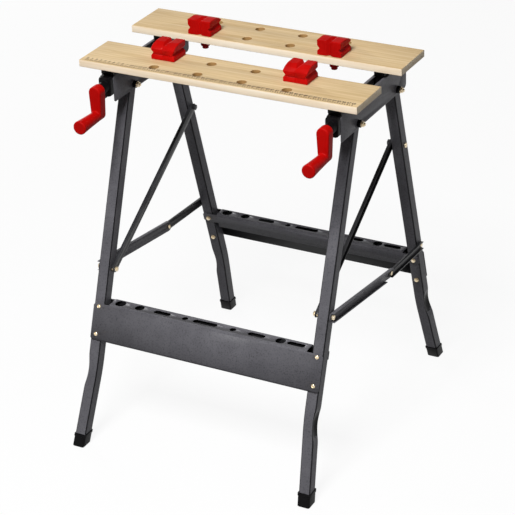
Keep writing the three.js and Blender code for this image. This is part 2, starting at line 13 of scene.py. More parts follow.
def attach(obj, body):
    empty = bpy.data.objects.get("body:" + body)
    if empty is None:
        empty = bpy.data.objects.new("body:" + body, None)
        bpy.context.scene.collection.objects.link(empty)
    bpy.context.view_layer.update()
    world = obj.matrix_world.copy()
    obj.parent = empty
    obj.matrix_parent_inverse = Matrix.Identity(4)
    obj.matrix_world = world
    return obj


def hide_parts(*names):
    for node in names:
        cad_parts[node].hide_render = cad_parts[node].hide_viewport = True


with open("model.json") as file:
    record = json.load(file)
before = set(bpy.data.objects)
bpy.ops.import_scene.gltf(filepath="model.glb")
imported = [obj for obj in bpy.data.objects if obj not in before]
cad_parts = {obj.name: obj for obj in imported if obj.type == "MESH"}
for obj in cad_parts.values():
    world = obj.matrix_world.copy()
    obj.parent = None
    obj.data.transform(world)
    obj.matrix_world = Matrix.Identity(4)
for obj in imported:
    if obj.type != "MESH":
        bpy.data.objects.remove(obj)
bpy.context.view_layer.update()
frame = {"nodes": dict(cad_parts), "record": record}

MM = 0.001
SIDES = {"left": -1, "right": 1}
OUT = {"front": -1, "rear": 1}

# Mesh work: points this near are one, and angles in degrees of flat joints and of edges to round
NEAR = 0.001
FLAT_ANGLE = 0.5
EDGE_ANGLE = 32.0

# Worktop
TOP = 790.0
JAW_LENGTH = 605.0
JAW_WIDTH = 109.0
JAW_THICK = 15.0
JAW_GAP = 93.0
JAW_EDGE_ROUND = 1.1
PEG_HOLE = 19.5
PEG_COLUMNS = (-145.5, -48.5, 48.5, 145.5)
PEG_INNER_ROW = 73.5
PEG_OUTER_ROW = 130.5

# Bench dogs: a shallow line across the back of each and another down it
DOG_EDGE_ROUND = 1.1
DOG_LINE_ABOVE_JAW = 11.5
DOG_LINE_HALF = 1.2
DOG_LINE_DEPTH = 1.5
DOG_LINE_NEAR = 0.02
DOG_BACK_FACING = 0.4

# Ruler print along the front edge of the front jaw
RULER_INSET = 3.5
RULER_STEP = 5.0
RULER_SHORT = 4.6
RULER_LONG = 6.4
RULER_LINE = 1.6
RULER_DIGITS = 8.4
RULER_DIGITS_ABOVE = 1.2
RULER_BOLD = 0.22
RULER_MARGIN = 12.5
RULER_HEIGHT = 0.06

# Legs and feet
TUBE = 25.0
TUBE_CORNER = 3.2
TUBE_CORNER_STEPS = 5
TUBE_SIDE_STEPS = 9
LEG_X = 248.7
PIVOT_Z = 715.0
PIVOT_Y = {"front": -66.0, "rear": 115.0}
FOOT_Y = 322.0
FOOT_X = 261.3
BEND_HEIGHT = 158.0
BEND_BLEND = 24.0
LEG_BOTTOM = 5.0
LEG_RING_STEP = 3.0
LEG_CLOSE_RINGS = 79
LEG_LONG_RINGS = 6
LEG_TOP_RINGS = 8
LEG_TOP_STEP = 10.8
FOOT_HEIGHT = 27.0
FOOT_WALL = 1.8
FOOT_LIP = 0.9
FOOT_CORNER = 3.4
CRIMP_BELOW_BEND = 6.0
CRIMP_LENGTH = 76.0
CRIMP_DEPTH = 8.0
CRIMP_CORNER_HOLD = 0.55
# Where the crimp is pressed in deeper than this, the coat takes painted shade
CRIMP_PAINTED_SHADE_DEPTH = 2.4

# Trays
TRAY_SHEET = 1.2
TRAY_TOP = 293.5
TRAY_BEND = 2.6
TRAY_BEND_STEPS = 6
TRAY_SNIP = 4.0
TRAY_INNER_HEIGHT = 36.0
TRAY_TAB_HEIGHT = 26.0
TRAY_END_GAP = 11.0
TRAY_BOLT_HEIGHT = 281.0
TRAY_BOLT_SPACING = 58.0
TRAY_BELOW_BOLT = 8.0
TRAY_ROUNDS = ((-206, 23), (-161, 20), (-55, 12.5), (54.5, 13.5), (161, 21))
TRAY_SLOTS = ((-108, 38), (-9, 55), (107.5, 38.5), (195.4, 38.8))
TRAY_SLOT_WIDTH = 13.0

# Braces
STAY_DROP = 143.0
STAY_DEPTH = 7.2
STRUT_ABOVE_BOLT = 35.0
BRACE_SHEET = 1.3

# Clamp
SPINDLE = 10.0
SPINDLE_Z = 740.0
SPINDLE_FRONT = -186.0
SPINDLE_REAR = 98.0
THREAD_FRONT = -108.0
THREAD_PITCH = 6.0
THREAD_DEPTH = 1.1
THREAD_STEPS = 20
THREAD_RINGS_A_TURN = 8
COLLAR = 18.0
COLLAR_SPAN = (-115.7, -110.7)
CRANK_RADIUS = 49.0
CRANK_HUB = 27.0
CRANK_ARM_END = 22.0
CRANK_ARM_REAR = -171.0
CRANK_ARM_DEPTH = 22.0
CRANK_ROUND = 3.0
CRANK_GRAIN = 0.9
HANDLE_REACH = 61.0
HANDLE_ROOT = 24.0
HANDLE_END = 28.5

# Fasteners
RAIL_WIDTH = 28.4
FIT = 0.3
PIVOT_BOLT = 6.0
PIVOT_BUSH = 15.0
PIVOT_BUSH_THICK = 7.0
PIVOT_SLEEVE = 10.0
TRAY_BOLT = 5.0
TRAY_HEAD = 9.0
TRAY_HEAD_THICK = 2.5
TRAY_RECESS = 3.4
TRAY_WASHER = 9.5
TRAY_WASHER_THICK = 0.6
TRAY_NUT = 7.92
TRAY_NUT_THICK = 2.7
PIVOT_HEX = 9.9
PIVOT_WASHER = 12.32
PIVOT_WASHER_THICK = 0.8
STAY_NUT = 11.3
HEX_THICK = 4.5
BOLT_TIP = 3.0
RIVET_HEAD = 9.0
RIVET_HEAD_THICK = 1.8

# Camera, fitted to the photograph's 515 by 515 frame
CAMERA_AT = (1764.0, -3219.0, 2255.0)
CAMERA_AZIMUTH = 28.77
CAMERA_ELEVATION = 27.56
CAMERA_ROLL = -2.19
CAMERA_LENS = 139.64
CAMERA_SENSOR = 36.0

# Studio, in metres and watts
KEY_AT = (0.2, -2.5, 3.9)
KEY_SIZE = 1.3
KEY_POWER = 204.0
FILL_AT = (4.0, -1.1, 1.0)
FILL_SIZE = 1.8
FILL_POWER = 18.0
BACK_AT = (-3.9, 2.4, 1.2)
BACK_SIZE = 2.2
BACK_POWER = 75.0
LIGHTS_AIM = (0.0, 0.0, 0.45)
WORLD_LIGHT = 0.06
FLOOR_RADIUS = 12.0
COVE_RADIUS = 4.0
BACKDROP_TOP = 7.0
FLOOR_BOUNCE = 0.12
FLOOR_WHITE = 0.91

LEG_INNER = LEG_X - TUBE / 2
LEG_OUTER = LEG_X + TUBE / 2
FACE_OFFSET = TUBE / 2 + FIT
SKIN_OFFSET = FACE_OFFSET + TRAY_SHEET
STAY_WEB = LEG_INNER - 2 * FIT - STAY_DEPTH
STRUT_REAR_WEB = LEG_OUTER + 2 * FIT + BRACE_SHEET
SLOPE = {end: (FOOT_Y - OUT[end] * PIVOT_Y[end]) / PIVOT_Z for end in OUT}
TILT = {end: math.atan(SLOPE[end]) for end in OUT}
UPPER_BOLT_DROP = {end: (PIVOT_Z - TRAY_BOLT_HEIGHT) / math.cos(TILT[end]) for end in OUT}


# Node trees

class Nodes:
    """A material's node tree, built a node at a time."""

    def __init__(self, name):
        self.material = bpy.data.materials.new(name)
        self.material.use_nodes = True
        self.tree = self.material.node_tree
        self.shader = self.tree.nodes["Principled BSDF"]
        self.coords = self.tree.nodes.new("ShaderNodeTexCoord").outputs["Object"]

    def link(self, output, node, socket):
        self.tree.links.new(output, node.inputs[socket])

    def set(self, socket, value):
        self.shader.inputs[socket].default_value = value

    def stretched(self, scale):
        node = self.tree.nodes.new("ShaderNodeMapping")
        node.inputs["Scale"].default_value = scale
        self.link(self.coords, node, "Vector")
        return node.outputs["Vector"]

    def noise(self, vector, scale, detail=3.0, roughness=0.5, distortion=0.0):
        node = self.tree.nodes.new("ShaderNodeTexNoise")
        node.inputs["Scale"].default_value = scale
        node.inputs["Detail"].default_value = detail
        node.inputs["Roughness"].default_value = roughness
        node.inputs["Distortion"].default_value = distortion
        self.link(vector, node, "Vector")
        return node.outputs["Fac"]

    def wave(self, vector, scale, distortion, detail_scale):
        node = self.tree.nodes.new("ShaderNodeTexWave")
        node.wave_type = "BANDS"
        node.bands_direction = "Y"
        node.inputs["Scale"].default_value = scale
        node.inputs["Distortion"].default_value = distortion
        node.inputs["Detail"].default_value = 2.0
        node.inputs["Detail Scale"].default_value = detail_scale
        self.link(vector, node, "Vector")
        return node.outputs["Fac"]

    def voronoi(self, vector, scale):
        node = self.tree.nodes.new("ShaderNodeTexVoronoi")
        node.inputs["Scale"].default_value = scale
        self.link(vector, node, "Vector")
        return node.outputs["Distance"]

    def ramp(self, factor, stops):
        node = self.tree.nodes.new("ShaderNodeValToRGB")
        elements = node.color_ramp.elements
        while len(elements) < len(stops):
            elements.new(0.5)
        for element, (position, colour) in zip(elements, stops):
            element.position = position
            element.color = (*colour, 1.0)
        self.link(factor, node, "Fac")
        return node.outputs["Color"]

    def mix(self, factor, first, second, blend="MIX"):
        node = self.tree.nodes.new("ShaderNodeMix")
        node.data_type = "RGBA"
        node.blend_type = blend
        # Of a Mix node's sockets, 0 is the factor, and 6 and 7 are the colours.
        for value, socket in ((factor, 0), (first, 6), (second, 7)):
            if isinstance(value, bpy.types.NodeSocket):
                self.tree.links.new(value, node.inputs[socket])
            elif socket == 0:
                node.inputs[0].default_value = value
            else:
                node.inputs[socket].default_value = (*value, 1.0)
        return node.outputs[2]

    def range(self, factor, low, high, start=0.0, stop=1.0):
        node = self.tree.nodes.new("ShaderNodeMapRange")
        node.inputs["From Min"].default_value = start
        node.inputs["From Max"].default_value = stop
        node.inputs["To Min"].default_value = low
        node.inputs["To Max"].default_value = high
        self.link(factor, node, "Value")
        return node.outputs["Result"]

    def bump(self, heights):
        """Chains bumps given as (height, strength, distance in metres)."""
        normal = None
        for height, strength, distance in heights:
            node = self.tree.nodes.new("ShaderNodeBump")
            node.inputs["Strength"].default_value = strength
            node.inputs["Distance"].default_value = distance
            self.link(height, node, "Height")
            if normal is not None:
                self.link(normal, node, "Normal")
            normal = node.outputs["Normal"]
        self.link(normal, self.shader, "Normal")

    def colour(self, output):
        self.link(output, self.shader, "Base Color")

    def roughness(self, output):
        self.link(output, self.shader, "Roughness")


def linear(*rgb):
    """An sRGB colour out of 255 as linear values."""
    channel = [c / 255 for c in rgb]
    return tuple(c / 12.92 if c <= 0.04045 else ((c + 0.055) / 1.055) ** 2.4 for c in channel)


def wood_material(name, dark, middle, light, pore):
    """Pale softwood: long grain along the boards, soft growth bands and fine pores."""
    n = Nodes(name)
    along = n.stretched((2.2, 34.0, 34.0))
    fine = n.stretched((14.0, 520.0, 520.0))
    bands = n.wave(n.stretched((1.2, 26.0, 26.0)), 1.3, 5.5, 1.4)
    grain = n.noise(along, 2.4, 6.0, 0.62, 0.6)
    pores = n.noise(fine, 2.0, 3.0, 0.6)
    blotch = n.noise(n.coords, 6.0, 2.0)
    base = n.ramp(grain, ((0.25, dark), (0.5, middle), (0.78, light)))
    banded = n.mix(n.range(bands, 0.0, 0.3, 0.35, 1.0), base, dark)
    shaded = n.mix(n.range(blotch, 0.0, 0.3, 0.35, 0.75), banded, middle)
    n.colour(n.mix(n.range(pores, 0.0, 0.3, 0.58, 0.8), shaded, pore))
    n.roughness(n.range(grain, 0.66, 0.54))
    n.set("Specular IOR Level", 0.18)
    n.bump([(pores, 0.25, 0.0003), (grain, 0.12, 0.0006)])
    return n.material


def steel_material(name, dark, light, fleck_and_glint):
    """Grey powder coat: a fine orange peel, faint mottling, a dark grain and small paler flecks, which
    are partly paint flecks and partly painted glints.
    """
    n = Nodes(name)
    peel = n.noise(n.coords, 950.0, 2.0)
    speck = n.voronoi(n.coords, 2400.0)
    mottle = n.noise(n.coords, 22.0, 4.0)
    grain = n.noise(n.coords, 330.0, 2.0)
    base = n.ramp(mottle, ((0.3, dark), (0.7, light)))
    grained = n.mix(n.range(grain, 0.0, 0.45, 0.5, 0.75), base, linear(34, 33, 36))
    # Small paler specks: paint flecks that double as painted glints.
    n.colour(n.mix(n.range(speck, 0.24, 0.0, 0.0, 0.35), grained, fleck_and_glint))
    n.roughness(n.range(mottle, 0.34, 0.44))
    n.set("Specular IOR Level", 0.1)
    n.bump([(peel, 0.16, 0.0003)])
    return n.material


def black_coat_material():
    """Glossy black coat on the stays and the struts' rear halves, with a faint ripple."""
    n = Nodes("black_coat")
    ripple = n.noise(n.coords, 420.0, 2.0)
    mottle = n.noise(n.coords, 30.0, 3.0)
    base = n.ramp(mottle, ((0.3, linear(36, 36, 38)), (0.7, linear(54, 54, 57))))
    n.colour(base)
    n.roughness(n.range(mottle, 0.26, 0.36))
    n.set("Specular IOR Level", 0.3)
    n.bump([(ripple, 0.12, 0.0003)])
    return n.material


def zinc_material():
    """Pale yellow zinc plate: warm metal with faint clouds and fine turning marks."""
    n = Nodes("yellow_zinc")
    clouds = n.noise(n.coords, 160.0, 3.0)
    marks = n.noise(n.stretched((1400.0, 300.0, 300.0)), 1.0, 2.0)
    n.colour(n.ramp(clouds, (
        (0.3, linear(226, 202, 160)), (0.55, linear(240, 224, 192)), (0.75, linear(232, 220, 206)),
    )))
    n.roughness(n.range(marks, 0.24, 0.42))
    n.set("Metallic", 0.8)
    n.bump([(marks, 0.1, 0.0002)])
    return n.material


def screw_steel_material():
    """Bare screw steel with an oily sheen."""
    n = Nodes("screw_steel")
    clouds = n.noise(n.coords, 90.0, 4.0)
    n.colour(n.ramp(clouds, ((0.3, linear(140, 138, 134)), (0.7, linear(184, 181, 176)))))
    n.roughness(n.range(clouds, 0.28, 0.45))
    n.set("Metallic", 1.0)
    n.bump([(n.noise(n.coords, 1800.0, 2.0), 0.08, 0.0002)])
    return n.material


def black_plastic_material():
    """Moulded black plastic with a fine spark texture and faint scuffs."""
    n = Nodes("black_plastic")
    texture = n.noise(n.coords, 1300.0, 3.0)
    scuff = n.noise(n.coords, 70.0, 5.0, 0.7)
    base = n.ramp(scuff, ((0.35, linear(9, 8, 9)), (0.75, linear(20, 19, 21))))
    n.colour(base)
    n.roughness(n.range(scuff, 0.3, 0.44))
    n.set("Specular IOR Level", 0.08)
    n.bump([(texture, 0.14, 0.0003)])
    return n.material


def red_plastic_material():
    """Moulded red plastic: slight colour drift and a fine texture."""
    n = Nodes("red_plastic")
    drift = n.noise(n.coords, 26.0, 3.0)
    texture = n.noise(n.coords, 1100.0, 3.0)
    base = n.ramp(drift, ((0.3, linear(172, 6, 4)), (0.7, linear(188, 9, 6))))
    n.colour(base)
    n.roughness(n.range(drift, 0.46, 0.56))
    n.set("Specular IOR Level", 0.08)
    n.bump([(texture, 0.1, 0.0003)])
    return n.material


def ink_material():
    """Dark ruler print, thin in places."""
    n = Nodes("ruler_ink")
    worn = n.noise(n.coords, 700.0, 3.0)
    n.colour(n.ramp(worn, ((0.3, linear(30, 22, 15)), (0.75, linear(74, 56, 38)))))
    n.roughness(n.range(worn, 0.6, 0.8))
    n.set("Specular IOR Level", 0.1)
    return n.material


WOOD = wood_material(
    "pale_wood",
    dark=linear(190, 160, 112), middle=linear(214, 188, 146), light=linear(226, 203, 164),
    pore=linear(166, 132, 88),
)
# The sawn sides: the wood's own paler, pinker sawn tone, made lighter still as painted light.
SAWN_EDGE_AND_PAINTED_LIGHT = wood_material(
    "sawn_edge_and_painted_light",
    dark=linear(234, 210, 176), middle=linear(251, 234, 208), light=linear(254, 244, 226),
    pore=linear(212, 180, 138),
)
# Darker wood for the peg holes' walls: painted shade inside the holes.
HOLE_PAINTED_SHADE = wood_material(
    "drilled_hole_painted_shade",
    dark=linear(142, 106, 62), middle=linear(170, 132, 82), light=linear(190, 152, 102),
    pore=linear(112, 80, 44),
)
STEEL = steel_material(
    "powder_coat", dark=linear(93, 92, 97), light=linear(106, 105, 110), fleck_and_glint=linear(148, 147, 154),
)
# A darker copy of the powder coat, for painted shade on the leg corners, in the crimp and inside the
# trays.
PAINTED_SHADE_COAT = steel_material(
    "powder_coat_painted_shade", dark=linear(18, 18, 20), light=linear(32, 32, 34), fleck_and_glint=linear(52, 52, 56),
)
BLACK_COAT = black_coat_material()
ZINC = zinc_material()
SCREW = screw_steel_material()
BLACK = black_plastic_material()
RED = red_plastic_material()
INK = ink_material()


# Pieces and meshes

BODY_OF = {
    node: body
    for body, members in frame["record"]["behaviour"]["bodies"].items()
    for node in members
}
SLOT_OF = {row["node"]: row["material_slot"] for row in frame["record"]["subparts"]}


def piece(name, mesh, node, material, sharp=40.0, slot=None):
    """Adds a mesh as a piece on a node's body, in the node's place or, with a slot, beside it."""
    obj = bpy.data.objects.new(name, mesh)
    bpy.context.scene.collection.objects.link(obj)
    mesh.materials.clear()
    mesh.materials.append(material)
    mesh.polygons.foreach_set("use_smooth", [True] * len(mesh.polygons))
    mesh.set_sharp_from_angle(angle=math.radians(sharp))
    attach(obj, BODY_OF[node])
    if slot is None:
        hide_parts(node)
    return obj


def mesh_of(bm, name):
    """A bmesh as a mesh with its faces pointing out."""
    mesh = bpy.data.meshes.new(name)
    bmesh.ops.recalc_face_normals(bm, faces=bm.faces)
    bm.to_mesh(mesh)
    bm.free()
    return mesh


def lofted(bm, rings, matrix=Matrix.Identity(4)):
    """Joins closed rings of points, in millimetres, and caps both ends."""
    levels = []
    for ring in rings:
        levels.append([bm.verts.new(matrix @ Vector(p) * MM) for p in ring])
    for low, high in zip(levels, levels[1:]):
        count = len(low)
        for i in range(count):
            bm.faces.new((low[i], low[(i + 1) % count], high[(i + 1) % count], high[i]))
    bm.faces.new(levels[0][::-1])
    bm.faces.new(levels[-1])


def circle(radius, along, steps):
    """A ring in the XY plane at a height."""
    angles = [2 * math.pi * i / steps for i in range(steps)]
    return [(radius * math.cos(a), radius * math.sin(a), along) for a in angles]


def turned(bm, profile, matrix, steps=28):
    """A lathe shape about local Z from (radius, height) pairs."""
    lofted(bm, [circle(radius, height, steps) for radius, height in profile], matrix)


def hexagon(bm, across, low, high, matrix, chamfer=0.6):
    """A hexagonal head or nut about local Z, chamfered at both ends."""
    corner = across / math.sqrt(3)
    turned(bm, (
        (corner - chamfer, low), (corner, low + chamfer * 0.6),
        (corner, high - chamfer * 0.6), (corner - chamfer, high),
    ), matrix, steps=6)


def facing(origin, direction):
    """A matrix with local Z along a direction."""
    turn = Vector(direction).to_track_quat("Z", "X").to_matrix().to_4x4()
    return Matrix.Translation(Vector(origin)) @ turn


def rounded_copy(node, width, segments=2):
    """A copy of a solid, as a bmesh, with its flat facets merged and its sharp edges rounded."""
    bm = bmesh.new()
    bm.from_mesh(frame["nodes"][node].data)
    bmesh.ops.remove_doubles(bm, verts=bm.verts, dist=NEAR * MM)
    flat, edge = math.radians(FLAT_ANGLE), math.radians(EDGE_ANGLE)
    bmesh.ops.dissolve_limit(bm, angle_limit=flat, verts=bm.verts, edges=bm.edges)
    sharp = [e for e in bm.edges if e.is_manifold and e.calc_face_angle() > edge]
    bmesh.ops.bevel(
        bm, geom=sharp, offset=width * MM, offset_type="OFFSET", segments=segments,
        profile=0.5, affect="EDGES", clamp_overlap=True,
    )
    return bm


def flat_curve(loops):
    """A filled curve, in metres, from an outline and its holes."""
    curve = bpy.data.curves.new("outline", "CURVE")
    curve.dimensions = "2D"
    curve.fill_mode = "BOTH"
    for loop in loops:
        spline = curve.splines.new("POLY")
        spline.points.add(len(loop) - 1)
        for point, (x, y) in zip(spline.points, loop):
            point.co = (x * MM, y * MM, 0.0, 1.0)
        spline.use_cyclic_u = True
    return curve


def add_mesh_from(bm, curve):
    """Adds a curve's or a text's mesh to a bmesh, with its doubled points merged."""
    holder = bpy.data.objects.new("holder", curve)
    bpy.context.scene.collection.objects.link(holder)
    bpy.context.view_layer.update()
    mesh = bpy.data.meshes.new_from_object(holder.evaluated_get(bpy.context.evaluated_depsgraph_get()))
    bm.from_mesh(mesh)
    bmesh.ops.remove_doubles(bm, verts=bm.verts, dist=NEAR * MM)
    bpy.data.objects.remove(holder)
    bpy.data.meshes.remove(mesh)


def plate(bm, loops, low, high, bevel, matrix=Matrix.Identity(4)):
    """Adds a flat plate from an outline and its holes, with rounded rims."""
    curve = flat_curve(loops)
    curve.extrude = ((high - low) / 2 - bevel) * MM
    curve.bevel_depth = bevel * MM
    curve.bevel_resolution = 2
    curve.offset = -bevel * MM
    add_mesh_from(bm, curve)
    turn = matrix @ Matrix.Translation((0, 0, (high + low) / 2))
    turn.translation *= MM
    bmesh.ops.transform(bm, matrix=turn, verts=bm.verts)


def arc(x, y, radius, start, stop, steps):
    """Points on an arc, with its angles in degrees."""
    angles = [math.radians(start + (stop - start) * i / steps) for i in range(steps + 1)]
    return [(x + radius * math.cos(a), y + radius * math.sin(a)) for a in angles]


def round_hole(x, y, diameter, steps=40):
    """Points round a hole, clockwise."""
    return arc(x, y, diameter / 2, 360, 0, steps)[:-1]


def rounded_rectangle(width, depth, radius, corner_steps=5, side_steps=1):
    """Points round a centred rectangle, anticlockwise, with extra points along its sides."""
    points = []
    corners = ((1, 1), (-1, 1), (-1, -1), (1, -1))
    for quarter, (sx, sy) in enumerate(corners):
        centre = (sx * (width / 2 - radius), sy * (depth / 2 - radius))
        points += arc(*centre, radius, quarter * 90, quarter * 90 + 90, corner_steps)
        nx, ny = corners[(quarter + 1) % 4]
        following = (nx * (width / 2 - radius), ny * (depth / 2 - radius))
        last = Vector(points[-1])
        step = (Vector(following) - Vector(centre)) / side_steps
        points += [tuple(last + step * i) for i in range(1, side_steps)]
    return points


# Worktop

def jaw(node, out):
    """A board with rounded edges, paler sawn sides, partly their own tone and partly painted light, and
    drilled peg holes darkened with painted shade.
    """
    near, far = out * JAW_GAP / 2, out * (JAW_GAP / 2 + JAW_WIDTH)
    low, high = min(near, far), max(near, far)
    half = JAW_LENGTH / 2
    loops = [[(-half, low), (half, low), (half, high), (-half, high)]]
    for x in PEG_COLUMNS:
        for row in (PEG_INNER_ROW, PEG_OUTER_ROW):
            loops.append(round_hole(x, out * row, PEG_HOLE))
    bm = bmesh.new()
    plate(bm, loops, TOP - JAW_THICK, TOP, JAW_EDGE_ROUND)
    board = piece(f"{node}_board", mesh_of(bm, node), node, WOOD).data
    board.materials.append(SAWN_EDGE_AND_PAINTED_LIGHT)
    board.materials.append(HOLE_PAINTED_SHADE)
    inside = JAW_EDGE_ROUND + FIT
    for face in board.polygons:
        if abs(face.normal.z) < 0.5:
            x, y, _ = face.center / MM
            in_hole = abs(x) < half - inside and low + inside < y < high - inside
            # Upright faces: hole walls get the painted-shade wood, the outer sides the sawn tone with
            # painted light.
            face.material_index = 2 if in_hole else 1


def ruler():
    """A plain centimetre scale printed along the front edge of the front jaw."""
    bm = bmesh.new()
    front = -JAW_GAP / 2 - JAW_WIDTH + RULER_INSET
    start = -JAW_LENGTH / 2 + RULER_MARGIN
    count = int((JAW_LENGTH - 2 * RULER_MARGIN) / RULER_STEP)
    per_centimetre = round(10 / RULER_STEP)
    for i in range(count + 1):
        x = start + i * RULER_STEP
        length = RULER_LONG if i % per_centimetre == 0 else RULER_SHORT
        centre = Vector((x, front + length / 2, TOP + RULER_HEIGHT / 2)) * MM
        size = Matrix.Diagonal((RULER_LINE * MM, length * MM, RULER_HEIGHT * MM, 1.0))
        bmesh.ops.create_cube(bm, size=1.0, matrix=Matrix.Translation(centre) @ size)
    for i in range(0, count + 1, per_centimetre):
        text = bpy.data.curves.new("digits", "FONT")
        text.body = str(i // per_centimetre)
        text.size = RULER_DIGITS * MM
        text.align_x = "CENTER"
        text.extrude = RULER_HEIGHT / 2 * MM
        text.offset = RULER_BOLD * MM
        digits = bmesh.new()
        add_mesh_from(digits, text)
        above = front + RULER_LONG + RULER_DIGITS_ABOVE
        place = Vector((start + i * RULER_STEP, above, TOP + RULER_HEIGHT / 2))
        bmesh.ops.transform(digits, matrix=Matrix.Translation(place * MM), verts=digits.verts)
        mesh = mesh_of(digits, "digits")
        bm.from_mesh(mesh)
        bpy.data.meshes.remove(mesh)
    return piece("ruler_marks", mesh_of(bm, "ruler_marks"), "front_jaw", INK, slot="wood")


def dog(side_name, end):
    """A dog's block, with a shallow line pressed in across its back and another down it."""
    node = f"dog_{end}_{side_name}"
    bm = rounded_copy(node, DOG_EDGE_ROUND, 3)
    middle = SIDES[side_name] * PEG_COLUMNS[-1]
    level = TOP + DOG_LINE_ABOVE_JAW
    for centre, across in (((middle, 0, 0), (1, 0, 0)), ((0, 0, level), (0, 0, 1))):
        for shift in (-DOG_LINE_HALF, 0.0, DOG_LINE_HALF):
            place = (Vector(centre) + Vector(across) * shift) * MM
            geometry = bm.verts[:] + bm.edges[:] + bm.faces[:]
            bmesh.ops.bisect_plane(
                bm, geom=geometry, plane_co=place, plane_no=across, dist=DOG_LINE_NEAR / 2 * MM,
            )
    bm.normal_update()
    pressed = []
    for vert in bm.verts:
        x, y, z = vert.co / MM
        on_line = min(abs(x - middle), abs(z - level)) < DOG_LINE_NEAR
        behind_shank = y * OUT[end] > PEG_INNER_ROW + PEG_HOLE / 2 + DOG_EDGE_ROUND
        if on_line and behind_shank and vert.normal.y * OUT[end] > DOG_BACK_FACING:
            pressed.append((vert, vert.normal * -DOG_LINE_DEPTH * MM))
    for vert, inward in pressed:
        vert.co += inward
    return piece(f"{node}_block", mesh_of(bm, node), node, RED, sharp=14)


# Legs, feet and trays

def leg_centre(side, end, z):
    """The middle of a leg at a height, with the low bend eased over a short length."""
    below = BEND_HEIGHT - z
    if below <= -BEND_BLEND:
        eased = 0.0
    elif below >= BEND_BLEND:
        eased = below
    else:
        eased = (below + BEND_BLEND) ** 2 / (4 * BEND_BLEND)
    x = LEG_X + eased / BEND_HEIGHT * (FOOT_X - LEG_X)
    return Vector((side * x, PIVOT_Y[end] + OUT[end] * (PIVOT_Z - z) * SLOPE[end], z))


def down_leg(end, drop):
    """A point on a leg's middle line, a distance down from its pivot, as (y, z)."""
    return PIVOT_Y[end] + OUT[end] * drop * math.sin(TILT[end]), PIVOT_Z - drop * math.cos(TILT[end])


def leg_frame(side, end):
    """A matrix at a leg's pivot with -Z down the leg and +Y square to it."""
    turn = Matrix.Rotation(OUT[end] * TILT[end], 4, "X")
    return Matrix.Translation((side * LEG_X, PIVOT_Y[end], PIVOT_Z)) @ turn


def leg(side_name, end):
    """A square tube with a round top and a low bend, its outer wall pressed in at the bend.

    Painted shade darkens the coat along the corners and in the crimp.
    """
    side = SIDES[side_name]
    square = Matrix.Rotation(OUT[end] * TILT[end], 4, "X")
    section = rounded_rectangle(TUBE, TUBE, TUBE_CORNER, TUBE_CORNER_STEPS, TUBE_SIDE_STEPS)
    heights = [LEG_BOTTOM + i * LEG_RING_STEP for i in range(LEG_CLOSE_RINGS)]
    rest = (PIVOT_Z - heights[-1]) / LEG_LONG_RINGS
    heights += [heights[-1] + rest * i for i in range(1, LEG_LONG_RINGS + 1)]

    def dent(x, y, z):
        """How far the crimp presses in a point of the section at a height."""
        along = (z - BEND_HEIGHT + CRIMP_BELOW_BEND) / (CRIMP_LENGTH / 2 * math.cos(TILT[end]))
        outer = max(0.0, x * side / (TUBE / 2))
        across = y / (TUBE / 2)
        hold = 1 - CRIMP_CORNER_HOLD * across ** 2
        return CRIMP_DEPTH * max(0.0, 1 - along ** 2) ** 2 * outer ** 2 * hold

    rings = []
    for z in heights:
        centre = leg_centre(side, end, z)
        outline = [(x - side * dent(x, y, z), y) for x, y in section]
        rings.append([centre + square @ Vector((x, y, 0.0)) for x, y in outline])
    pivot = Vector((side * LEG_X, PIVOT_Y[end], PIVOT_Z))
    for step in range(1, LEG_TOP_RINGS + 1):
        angle = math.radians(step * LEG_TOP_STEP)
        depth = TUBE * math.cos(angle)
        corner = min(TUBE_CORNER, depth / 2 - 0.05)
        outline = rounded_rectangle(TUBE, depth, corner, TUBE_CORNER_STEPS, TUBE_SIDE_STEPS)
        lift = TUBE / 2 * math.sin(angle)
        rings.append([pivot + square @ Vector((x, y, lift)) for x, y in outline])
    bm = bmesh.new()
    lofted(bm, rings)
    node = f"leg_{end}_{side_name}"
    tube = piece(f"{node}_tube", mesh_of(bm, node), node, STEEL, sharp=50).data
    tube.materials.append(PAINTED_SHADE_COAT)
    corner_middle = range(1, TUBE_CORNER_STEPS - 1)
    # The last two faces are the end caps.
    for face in tube.polygons[:-2]:
        level, i = divmod(face.index, len(section))
        on_shaded_corner = i % (TUBE_CORNER_STEPS + TUBE_SIDE_STEPS) in corner_middle
        pressed = level < len(heights) and dent(*section[i], heights[level]) > CRIMP_PAINTED_SHADE_DEPTH
        # Painted shade: the corner strips and the deep part of the crimp take the darker coat.
        if on_shaded_corner or pressed:
            face.material_index = 1


def foot(side_name, end):
    """A push-on cap with a chamfered sole and a thicker rim, from (height, growth) levels."""
    side = SIDES[side_name]
    width = TUBE + 2 * (FOOT_WALL - FOOT_LIP)
    depth = (TUBE + 2 * FOOT_WALL) / math.cos(TILT["front"]) - 2 * FOOT_LIP
    levels = (
        (0.0, -1.6), (0.4, -1.0), (1.6, 0.0), (FOOT_HEIGHT - 6.4, 0.0),
        (FOOT_HEIGHT - 5.6, FOOT_LIP), (FOOT_HEIGHT - 1.0, FOOT_LIP),
        (FOOT_HEIGHT - 0.2, FOOT_LIP - 0.6), (FOOT_HEIGHT, FOOT_LIP - 1.4),
    )
    rings = []
    for z, grow in levels:
        outline = rounded_rectangle(width + 2 * grow, depth + 2 * grow, FOOT_CORNER, 5)
        centre = leg_centre(side, end, z)
        rings.append([centre + Vector((x, y, 0.0)) for x, y in outline])
    bm = bmesh.new()
    lofted(bm, rings)
    node = f"foot_{end}_{side_name}"
    return piece(f"{node}_cap", mesh_of(bm, node), node, BLACK, sharp=35)


